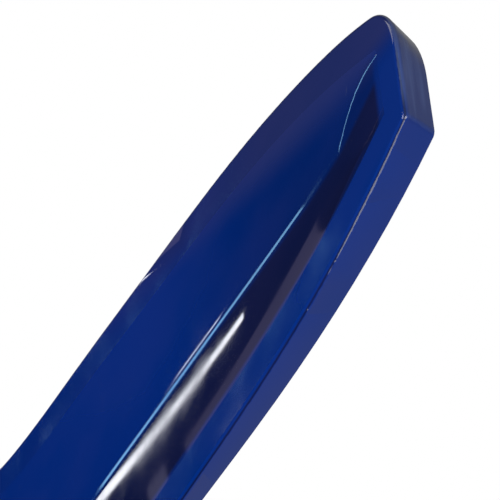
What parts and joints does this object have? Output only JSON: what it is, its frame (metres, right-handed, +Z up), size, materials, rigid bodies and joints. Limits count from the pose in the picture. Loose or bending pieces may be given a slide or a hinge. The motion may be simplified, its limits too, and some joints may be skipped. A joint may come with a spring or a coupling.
{
  "type": "windshield ice scraper",
  "caption": "Hand ice scraper with a long dished blue plastic handle, a flared toothed head, a clamped brass blade and a soft pad under the handle.",
  "frame": {"origin": "centre of the plan, on the ground that the scraper lies on", "axes": "+X along the handle towards its butt, the blade at -X; +Z up, the dished side up"},
  "size_m": [0.2654, 0.0996, 0.007],
  "materials": {
    "blue_plastic": "gloss",
    "clamp_plastic": "matt",
    "soft_pad": "matt",
    "blade_brass": "brushed",
    "screw_steel": "satin",
    "nut_brass": "satin"
  },
  "bodies": {
    "root": {"handle_body": "blue_plastic", "grip_pad": "soft_pad", "scraper_blade": "blade_brass", "blade_clamp": "clamp_plastic", "clamp_screws": "screw_steel", "clamp_nuts": "nut_brass"}
  },
  "joints": []
}
